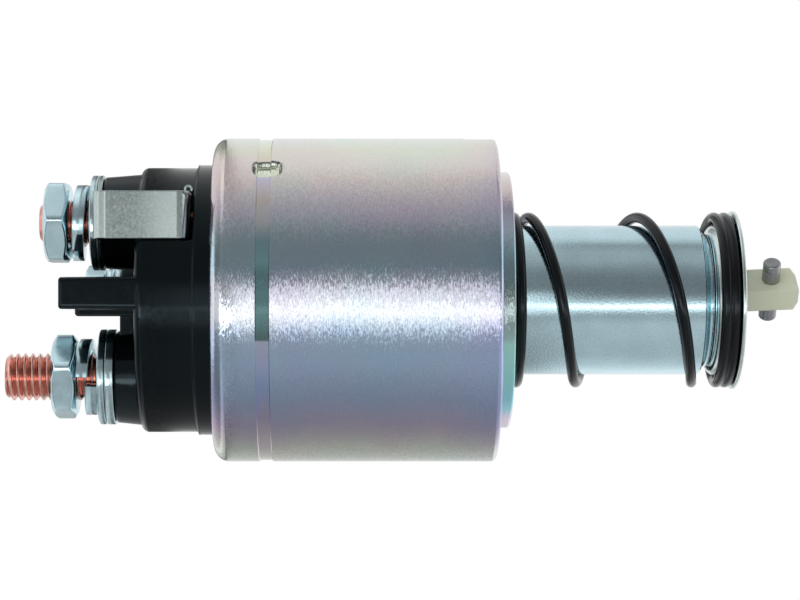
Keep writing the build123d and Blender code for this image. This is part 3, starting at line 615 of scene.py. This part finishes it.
# Wall thread of a tapped hole: a thin sleeve whose inner side rises and falls along the helix
def makeHoleThread(index):
    size = screwSize
    start, end = canSize["pilotHeight"] - size["depth"] + 0.2, canSize["pilotHeight"] - 0.45
    x, angle, wave = threadGrid(start, end, size["pitch"], 8, 48, 1)
    root = size["root"] + 0.04
    radius = root - (root - size["crest"]) * np.clip(wave * 1.15, 0, 1)
    outer = np.full_like(radius[:1], size["root"] + 0.2)
    x, radius = np.concatenate([x[:1], x, x[-1:]]), np.concatenate([outer, radius, outer])
    return meshPiece("hole_thread_%d" % index, around(x, radius, angle, *screwPlace(index)),
                     gridFaces(*x.shape, wrapRows=True, wrapCols=False), 40.0, 2e-6)


dress(drillCan(makeCan()), "can", node="can")
for index in range(screwSize["count"]):
    dress(makeHoleThread(index), "steel")
print("can made")

# Terminals: the place of each stud's axis, to the side and up
terminals = {"battery": (-5.5, -12.95), "motor": (-5.5, 12.95), "signal": (12.0, 1.6)}

# Studs: threads from the free end, a plain neck under the nut and the head inside the cap
studSize = {
    "battery": {"from": -82.5, "to": -66.0, "pitch": 1.25, "radius": 3.98, "depth": 0.68, "chamfer": 0.75,
                "runOut": 1.0, "neck": 3.6, "headTo": -52.8, "headRadius": 5.8, "headFlat": 4.6},
    "motor": {"from": -76.8, "to": -67.5, "pitch": 1.25, "radius": 3.98, "depth": 0.68, "chamfer": 1.2,
              "runOut": 1.0, "neck": 3.6, "headTo": -52.8, "headRadius": 5.8, "headFlat": 4.6},
    "signal": {"from": -71.6, "to": -65.5, "pitch": 0.8, "radius": 2.48, "depth": 0.44, "chamfer": 0.5,
               "runOut": 0.6, "neck": 2.45, "headTo": -54.2, "headRadius": 5.0, "headFlat": 0},
    "headFrom": -56.2, "chamferSlope": 0.9, "crestFlat": 0.12, "rootFlat": 0.1,
}


# The radius falls from crest to root and back once in each pitch; a cone cuts the tip and the thread runs out
# into its root at the other end
def threadedRod(name, size, side, height):
    start, end, crest, root = size["from"], size["to"], size["radius"], size["radius"] - size["depth"]
    x, angle, wave = threadGrid(start, end, size["pitch"], 12, 96, 2)
    low, high = studSize["crestFlat"], 1 - studSize["rootFlat"]
    radius = crest - size["depth"] * (np.clip(wave, low, high) - low) / (high - low)
    radius = np.minimum(radius, crest - size["chamfer"] + (x - start) * studSize["chamferSlope"])
    share = np.clip((end - x) / size["runOut"], 0, 1)
    points = around(x, radius * share + root * (1 - share), angle, side, height)
    first, last = (np.broadcast_to([place, side, height], (1, len(angle), 3)) for place in (start, end))
    points = np.concatenate([first, points, last])
    return meshPiece(name, points, gridFaces(*points.shape[:2], wrapCols=False), 40.0, 2e-6)


def makeStud(name, size, side, height):
    thread = threadedRod(name, size, side, height)
    last, neck, head, flat = size["to"] - 0.5, size["neck"], studSize["headFrom"], size["headFlat"]
    shank = turned("neck", [(last, 0), (last, neck), (head, neck), (head, 0)], side, height, 64, closed=False)
    outline = roundedOutline([(head, 0), (head, size["headRadius"]), (size["headTo"], size["headRadius"]),
                              (size["headTo"], 0)], [0, 0.4, 0.5, 0])
    cap = turned("head", outline, side, height, 96, closed=False)
    if flat:
        co = np.empty(len(cap.data.vertices) * 3)
        cap.data.vertices.foreach_get("co", co)
        co = co.reshape(-1, 3)
        co[:, 2] = np.clip(co[:, 2], (height - flat) * mm, (height + flat) * mm)
        cap.data.vertices.foreach_set("co", co.ravel())
        cap.data.update()
    return joined(name, [thread, shank, cap])


for which, place in terminals.items():
    dress(makeStud(which + "_stud_threaded", studSize[which], *place),
          "signalCopper" if which == "signal" else "copper", node=which + "_stud")
print("studs made")

# Lock washers: a square wire carried along one open turn, lifted at its split
lockSize = {
    "battery": {"outer": 6.4, "inner": 4.15, "sheet": 2.0, "rise": 1.6, "right": -66.8, "split": 96.0},
    "motor": {"outer": 6.4, "inner": 4.15, "sheet": 2.0, "rise": 1.6, "right": -68.05, "split": 250.0},
    "signal": {"outer": 4.0, "inner": 2.6, "sheet": 1.1, "rise": 0.4, "right": -65.6, "split": 200.0},
    "gap": 14.0, "corner": 0.16,
}


def makeLockWasher(name, size, side, height):
    gap, part = lockSize["gap"], np.linspace(0, 1, 121)
    x = size["right"] - size["sheet"] / 2 - size["rise"] * part
    turn = size["split"] / 360 + gap / 720 + part * (1 - gap / 360)
    path, radial = helixPath(turn, x, (size["outer"] + size["inner"]) / 2, side, height)
    section = boxSection(size["sheet"], size["outer"] - size["inner"], lockSize["corner"], 4)
    return carried(name, path, radial, section, 0.97, 0.02)


for which, place in terminals.items():
    dress(makeLockWasher(which + "_lock_ring", lockSize[which], *place), "hardware",
          node=which + "_lock_washer")

# Plain washers: turned rings with a rounded and a sharper edge, as stamped ones have; start, end, outer and inner
washerSize = {"battery": [(-66.75, -65.55, 8.0, 4.2), (-65.5, -64.0, 8.0, 4.2)],
              "motor": [(-68.0, -66.8, 8.0, 4.2)], "signal": [(-65.55, -64.65, 4.2, 2.6)]}


def makeWasher(name, start, end, outer, inner, side, height):
    points = [(start, inner), (start, outer), (end, outer), (end, inner)]
    return turned(name, roundedOutline(points, [0.12, 0.32, 0.14, 0.12], 6), side, height, 128)


pair = [makeWasher("ring", *span, *terminals["battery"]) for span in washerSize["battery"]]
dress(joined("battery_washer_pair", pair), "washer", node="battery_washers")
for which in ("motor", "signal"):
    ring = makeWasher(which + "_plain_washer", *washerSize[which][0], *terminals[which])
    dress(ring, "washer", node=which + "_washer")
print("washers made")

# Nuts: the hexagon is a radius for each angle, cut by a cone at each face, with rounded corners
nutSize = {"battery": {"start": -74.6, "thick": 4.15, "across": 13.0, "turn": 45.0, "bore": 3.6},
           "motor": {"start": -75.85, "thick": 4.15, "across": 13.0, "turn": 33.0, "bore": 3.6},
           "signal": {"start": -70.85, "thick": 3.7, "across": 8.0, "turn": 0.0, "bore": 2.3},
           "columns": 360, "face": 0.92, "coneAngle": 30.0, "cornerCut": 0.16, "cornerSpan": 0.3, "coneSpan": 0.22,
           "countersink": 0.45}


# The smaller of two values, with the corner between them rounded over a span
def softLower(a, b, span):
    share = np.clip(0.5 + 0.5 * (b - a) / span, 0, 1)
    return b + (a - b) * share - span * share * (1 - share)


def makeNut(name, size, side, height):
    half, thick, columns, sink = size["across"] / 2, size["thick"], nutSize["columns"], nutSize["countersink"]
    step = np.arange(columns) / columns * tau
    local = np.mod(step + math.pi / 6, math.pi / 3) - math.pi / 6
    corner = half / math.cos(math.pi / 6) - nutSize["cornerCut"]
    sides = softLower(half / np.cos(local), np.full(columns, corner), nutSize["cornerSpan"])
    place = np.concatenate([[0, 0.02], np.linspace(0.05, 1.2, 13), [thick / 2]])
    place = np.concatenate([place, thick - place[:-1][::-1]])
    cone = half * nutSize["face"] + np.minimum(place, thick - place) / math.tan(math.radians(nutSize["coneAngle"]))
    hole = np.array([size["bore"] + sink, size["bore"]])[:, None] + 0 * step
    radius = np.concatenate([hole[:1], softLower(sides[None], cone[:, None], nutSize["coneSpan"]), hole, hole[1:]])
    x = np.concatenate([[0], place, [thick, thick - sink, sink]])[:, None] + size["start"]
    angle = step - math.radians(size["turn"]) + math.pi / 2
    return meshPiece(name, around(x, radius, angle, side, height), gridFaces(*radius.shape, wrapRows=True), 28.0)


for which, place in terminals.items():
    dress(makeNut(which + "_hex_nut", nutSize[which], *place), "hardware", node=which + "_nut")
print("nuts made")

# Return spring: the place of each turn is a smooth curve, flat at both closed ends
springSize = {"wire": 0.9, "radius": 14.05, "left": 3.23, "right": 39.17,
              "turns": (0.0, 0.25, 0.5, 0.75, 1.0, 1.25, 1.5, 2.0, 2.25, 2.5, 3.0, 3.5, 4.0, 4.6),
              "places": (0.0, 0.4, 0.4, 0.9, 2.4, 7.1, 10.6, 20.9, 26.7, 30.3, 34.05, 34.45, 35.75, 35.92)}


# Cubic curve through (u, v) points with slopes taken from their neighbours
def smoothCurve(u, v, at):
    u, v = np.array(u, float), np.array(v, float)
    slope = np.gradient(v, u)
    i = np.clip(np.searchsorted(u, at) - 1, 0, len(u) - 2)
    width = u[i + 1] - u[i]
    t = (at - u[i]) / width
    return ((2 * t ** 3 - 3 * t ** 2 + 1) * v[i] + (t ** 3 - 2 * t ** 2 + t) * width * slope[i]
            + (3 * t ** 2 - 2 * t ** 3) * v[i + 1] + (t ** 3 - t ** 2) * width * slope[i + 1])


# Round wire carried along a helix
def wound(name, turn, x, size, sides):
    path, radial = helixPath(turn, x, size["radius"])
    return carried(name, path, radial, circleSection(size["wire"], sides), 0.93)


turn = np.linspace(springSize["turns"][0], springSize["turns"][-1], 420)
place = springSize["left"] + smoothCurve(springSize["turns"], springSize["places"], turn)
place = np.clip(place, springSize["left"], springSize["right"])
spring = dress(wound("return_spring_wire", turn, place, springSize, 24), "springBlack",
               node="return_spring")
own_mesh(spring)
print("return spring made")

# Springs inside: the engagement spring in the hollow plunger, and the two on the contact rod
innerSprings = {
    "engagement_spring": {"wire": 0.9, "radius": 6.5, "left": 6.2, "right": 35.8, "closed": 1.0, "coils": 7,
                          "body": "plunger", "joint": "link_slide", "anchor": 0.0358, "room": 29.6, "travel": 8.0},
    "contact_spring": {"wire": 0.4, "radius": 4.3, "left": -47.25, "right": -44.75, "closed": 0.0, "coils": 2,
                       "body": "contact_rod", "joint": "contact_slide", "anchor": -0.0447, "room": 2.6, "travel": 0.8},
    "contact_return_spring": {"wire": 0.45, "radius": 4.9, "left": -57.75, "right": -51.3, "closed": 0.7,
                              "coils": 2.6, "body": "housing", "joint": "rod_slide", "anchor": -0.0578, "room": 6.55,
                              "travel": 3.5},
}


def makeSpring(name, size):
    closed, wire, coils = size["closed"], size["wire"], size["coils"]
    turn = np.linspace(0, coils + 2 * closed, int(48 * (coils + 2)))
    length = size["right"] - size["left"] - 2 * wire
    places = [0, closed, closed + coils, 2 * closed + coils]
    pitch = 2 * wire * 1.03 * closed
    x = size["left"] + wire + np.interp(turn, places, [0, pitch, length - pitch, length])
    return wound(name, turn, x, size, 12)


for name, size in innerSprings.items():
    spring = dress(makeSpring(name + "_wire", size), "springSteel", size["body"], name)
    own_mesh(spring)

# Plunger: a turned, hollow bar with a chamfered face and a shouldered nose
plungerSize = {
    "face": -14.35, "radius": 12.7, "chamfer": 0.8, "shoulder": 35.3, "edge": 0.9, "collar": 11.3, "collarEnd": 36.0,
    "nose": 8.0, "noseEnd": 37.7, "bore": 7.8, "floor": -1.35,
}


def makePlunger():
    size = plungerSize
    face, full, end, floor = size["face"], size["radius"], size["noseEnd"], size["floor"]
    points = [(face, 0), (face, full - size["chamfer"]), (face + size["chamfer"], full),
              (size["shoulder"] - size["edge"], full), (size["shoulder"], size["collar"]),
              (size["collarEnd"], size["collar"]), (size["collarEnd"], size["nose"]), (end, size["nose"]),
              (end, size["bore"]), (floor, size["bore"]), (floor, 0)]
    outline = roundedOutline(points, [0, 0.2, 0.2, 0.4, 0.1, 0.15, 0.1, 0.08, 0.08, 0.4, 0])
    return turned("plunger_body", outline, segments=256, closed=False)


dress(makePlunger(), "plunger", "plunger", "plunger")

# Spring seat: a thin stamped cup; the crown's corner is a wide arc and the brim's edge is round
seatSize = {"face": 36.1, "hole": 8.05, "crown": 13.0, "corner": 1.6, "brimFace": 40.1, "brim": 15.2, "sheet": 0.7}


def makeSeat():
    size = seatSize
    sheet, face, brim, crown, corner = size["sheet"], size["face"], size["brimFace"], size["crown"], size["corner"]
    points = [(face, size["hole"]), (face, crown), (brim, crown), (brim, size["brim"]), (brim + sheet, size["brim"]),
              (brim + sheet, crown - sheet), (face + sheet, crown - sheet), (face + sheet, size["hole"])]
    return turned("spring_seat_cup", roundedOutline(points, [0.1, corner, 0.25, 0.33, 0.33, 0.8, corner - sheet, 0.1],
                                                    8))


dress(makeSeat(), "seat", "plunger", "spring_seat")
print("plunger and seat made")

# Link, pin, strap, cap, gasket and guide tube keep the CAD form with rounded edges: piece, width of the rounding,
# its steps, the least angle it takes, whether flat faces stay flat, slot, look and body
roundedCopies = {
    "link": ("link_bar", 0.45, 4, 40.0, True, "link_nylon", "nylon", "link"),
    "link_pin": ("link_cross_pin", 0.1, 3, 25.0, True, "pin_steel", "pin", "link"),
    "motor_strap": ("motor_strap_strip", 0.16, 3, 25.0, False, "tinned_strip", "tinned", "housing"),
    "cap": ("cap_moulding", 0.7, 5, 25.0, True, "black_moulding", "black", "housing"),
    "cap_gasket": ("cap_seal_ring", 0.2, 3, 25.0, True, "gasket_rubber", "rubber", "housing"),
    "guide_tube": ("guide_tube_sleeve", 0.08, 2, 25.0, True, "guide_brass", "brass", "housing"),
}
for node, (name, bevel, segments, angle, flat, slotName, look, body) in roundedCopies.items():
    dress(dressedCopy(node, name, bevel, segments, angle, flat), look, body, node)

# Loop of the winding's end, soldered at the strap's upper corner: a wire round most of a circle, then a straight tail
loopSize = {"place": -51.0, "height": 18.0, "radius": 0.52, "wire": 0.2, "front": 0.15, "tail": 0.9,
            "tailWay": (0.5, 0.75, -0.4)}


def makeLeadLoop():
    size = loopSize
    front = min(corner[1] for corner in nodes["motor_strap"].bound_box) / mm + size["front"]
    turn = np.radians(np.linspace(-30, 250, 40))
    circle = np.stack([size["place"] + size["radius"] * np.cos(turn), np.full(40, front),
                       size["height"] + size["radius"] * np.sin(turn)], axis=1)
    tail = circle[-1] + np.linspace(0, size["tail"], 8)[1:, None] * np.array(size["tailWay"])
    path = np.concatenate([circle, tail])
    normal = np.repeat(np.array([[0.0, -1.0, 0.0]]), len(path), axis=0)
    return carried("strap_lead_loop", path, normal, circleSection(size["wire"], 12), 0.8)


dress(makeLeadLoop(), "tinned")
print("link, cap and strap made")

# Inner pieces keep the CAD mesh and take a look
innerLooks = {
    "fixed_core": "steel", "bobbin": "bobbin", "hold_in_winding": "wire", "pull_in_winding": "wire",
    "coil_spring_washer": "springSteel", "pull_in_lead": "wire", "hold_in_lead": "wire", "contact_rod": "steel",
    "contact_disc": "copper", "contact_bushes": "bobbin", "rod_clip": "springSteel", "plunger_cover": "steel",
    "seat_clip": "springSteel",
}
for name, look in innerLooks.items():
    nodes[name].data.materials.clear()
    nodes[name].data.materials.append(looks[look])

# Tent: a wide tube of soft light round the part, hidden from the camera; each zone along X has its own levels,
# given for the angle round the axis, where 0 is the front and 90 the top
tentSize = {
    "radius": 0.6,
    "places": (-2.6, -1.7, -1.0, -0.3, -0.26, -0.2, -0.19, -0.123, -0.118, -0.099, -0.093, 0.045, 0.07, 0.9),
    "zones": ("end", "end", "far", "far", "left", "left", "strap", "strap", "cap", "cap", "can", "can", "plunger",
              "plunger"),
    "end": ((-180, 1.0), (-120, 1.0), (-60, 1.2), (-20, 1.1), (-10, 1.1), (60, 1.3), (120, 1.2)),
    "far": ((-180, 0.9), (-100, 0.35), (-75, 0.25), (-35, 0.27), (-22, 0.5), (-14, 0.8), (5, 0.8), (12, 0.45),
            (20, 0.2), (42, 0.22), (60, 0.36), (80, 0.6), (120, 0.85)),
    "left": ((-170, 1.0), (-120, 0.9), (-60, 0.65), (-28, 0.5), (-19, 0.5), (-17, 4.5), (-6, 4.5), (-4, 1.5),
             (6, 1.3), (9, 0.4), (20, 0.28), (45, 0.3), (62, 0.7), (90, 1.0), (115, 0.9), (140, 0.45), (175, 0.45)),
    "strap": ((-170, 0.5), (-120, 0.6), (-60, 0.65), (-28, 0.5), (-19, 0.5), (-17, 4.5), (-7, 4.5), (-5, 0.35),
              (10, 0.36), (20, 0.28), (45, 0.3), (62, 0.7), (90, 1.0), (115, 0.9), (140, 0.3), (175, 0.3)),
    "cap": ((-170, 0.1), (-130, 0.12), (-60, 0.2), (-30, 0.2), (0, 0.25), (20, 0.22), (45, 0.2), (74, 0.12),
            (110, 0.1), (175, 0.1)),
    "can": ((-180, 0.9), (-168, 0.85), (-152, 0.55), (-129, 0.38), (-105, 0.32), (-84, 0.33), (-60, 0.37),
            (-45, 0.43), (-30, 0.4), (-24, 0.45), (-21, 0.8), (-17, 1.05), (-9, 1.1), (-8, 2.0), (-6, 2.0), (-5, 1.1),
            (5, 1.0), (9, 0.75), (14, 0.32), (20, 0.25), (42, 0.24), (58, 0.36), (74, 0.47), (94, 0.68), (110, 0.82),
            (140, 0.85)),
    "plunger": ((-180, 0.9), (-141, 0.95), (-114, 0.65), (-95, 0.53), (-78, 0.53), (-50, 0.57), (-37, 0.58),
                (-26, 0.45), (-20, 0.45), (-17, 0.9), (-13, 1.2), (-11, 2.4), (-9, 2.4), (-7, 1.0), (-2, 0.6),
                (3, 0.35), (9, 0.23), (23, 0.2), (36, 0.22), (49, 0.3), (62, 0.42), (77, 0.44), (93, 0.34),
                (102, 0.6), (112, 0.76), (138, 0.8)),
}


def makeTent():
    size = tentSize
    angle, places = np.arange(-180, 180, 0.5), np.array(size["places"])
    glow = np.stack([np.interp(angle, *np.array(size[zone]).T, period=360) for zone in size["zones"]], axis=1)
    turn = np.radians(angle)[:, None]
    points = np.stack(np.broadcast_arrays(places, -size["radius"] * np.cos(turn), size["radius"] * np.sin(turn)), -1)
    mesh = bpy.data.meshes.new("tent")
    faces = gridFaces(len(angle), len(places), wrapRows=True, wrapCols=False)
    mesh.from_pydata(points.reshape(-1, 3).tolist(), [], faces.tolist())
    mesh.attributes.new("glow", "FLOAT", "POINT").data.foreach_set("value", glow.ravel())
    tent = newObject("tent", mesh)
    look, tree, shader = newLook("tentGlow")
    tree.nodes.remove(shader)
    level = addNode(tree, "ShaderNodeAttribute", attribute_name="glow").outputs["Fac"]
    shine = addNode(tree, "ShaderNodeEmission", {"Strength": level})
    feed(tree, tree.nodes["Material Output"].inputs["Surface"], shine.outputs[0])
    mesh.materials.append(look)
    tent.visible_camera = tent.visible_shadow = False


# World: plain white where the camera, metal or glass sees it, and a softer white for the light it gives
worldLevel = {"light": 0.6, "seen": 1.0}


def makeWorld():
    world = bpy.data.worlds.new("studio")
    bpy.context.scene.world = world
    world.use_nodes = True
    tree = world.node_tree
    tree.nodes.clear()
    ray = addNode(tree, "ShaderNodeLightPath").outputs
    seen = mathNode(tree, "MAXIMUM", mathNode(tree, "MAXIMUM", ray["Is Camera Ray"], ray["Is Glossy Ray"]),
                    ray["Is Transmission Ray"])
    soft, white = (addNode(tree, "ShaderNodeBackground", {"Color": (1.0, 1.0, 1.0, 1.0), "Strength": level})
                   for level in (worldLevel["light"], worldLevel["seen"]))
    mix = addNode(tree, "ShaderNodeMixShader", {0: seen, 1: soft.outputs[0], 2: white.outputs[0]})
    addNode(tree, "ShaderNodeOutputWorld", {0: mix.outputs[0]})


# Floor: white, with the part's soft shadow, and short enough to stay below the front picture
floorSize = {"left": -0.5, "right": 0.5, "front": -0.4, "back": 0.14, "height": -0.07, "white": 0.9, "glow": 0.33}


def makeFloor():
    size = floorSize
    mesh = bpy.data.meshes.new("floor")
    mesh.from_pydata([(size[x], size[y], size["height"]) for x, y in (("left", "front"), ("right", "front"),
                                                                     ("right", "back"), ("left", "back"))],
                     [], [(0, 1, 2, 3)])
    floor = newObject("floor", mesh)
    look, tree, shader = newLook("floorWhite")
    shader.inputs["Base Color"].default_value = (size["white"], size["white"], size["white"], 1.0)
    shader.inputs["Roughness"].default_value = 0.9
    seen = addNode(tree, "ShaderNodeLightPath").outputs["Is Camera Ray"]
    glow = addNode(tree, "ShaderNodeEmission", {"Strength": mathNode(tree, "MULTIPLY", seen, size["glow"])})
    both = addNode(tree, "ShaderNodeAddShader", {0: shader.outputs[0], 1: glow.outputs[0]})
    feed(tree, tree.nodes["Material Output"].inputs["Surface"], both.outputs[0])
    mesh.materials.append(look)
    floor.visible_glossy = False


# Lamps: two weak soft boxes in front, which no metal shows
lamps = {"front_lamp": {"place": (-0.1, -0.5, 0.3), "aim": (0, 0, 0), "size": (0.5, 0.3), "power": 1.6},
         "left_lamp": {"place": (-0.5, -0.2, 0.2), "aim": (-0.05, 0, 0), "size": (0.3, 0.3), "power": 0.6}}


def makeLamp(name, place, aim, size, power):
    light = bpy.data.lights.new(name, "AREA")
    light.shape, light.size, light.size_y, light.energy = "RECTANGLE", size[0], size[1], power
    lamp = newObject(name, light)
    lamp.location = place
    lamp.rotation_mode = "QUATERNION"
    lamp.rotation_quaternion = (Vector(aim) - Vector(place)).to_track_quat("-Z", "Y")
    lamp.visible_glossy = False


makeTent()
makeWorld()
makeFloor()
for name, size in lamps.items():
    makeLamp(name, **size)
print("tent, world, floor and lamps made")

# Camera: level with the axis, in front, framed by the photograph's proportions
cameraSize = {"lens": 113.3, "sensor": 36.0, "shift": 53.5 / 800, "place": (-0.0253, -0.43, 0.0)}
camera = newObject("camera", bpy.data.cameras.new("camera"))
camera.data.lens, camera.data.sensor_width = cameraSize["lens"], cameraSize["sensor"]
camera.data.shift_x = cameraSize["shift"]
camera.location = cameraSize["place"]
camera.rotation_euler = (math.radians(90), 0, 0)
camera.data.clip_start, camera.data.clip_end = 0.01, 20.0
bpy.context.scene.camera = camera
bpy.context.scene.view_settings.view_transform = "Standard"
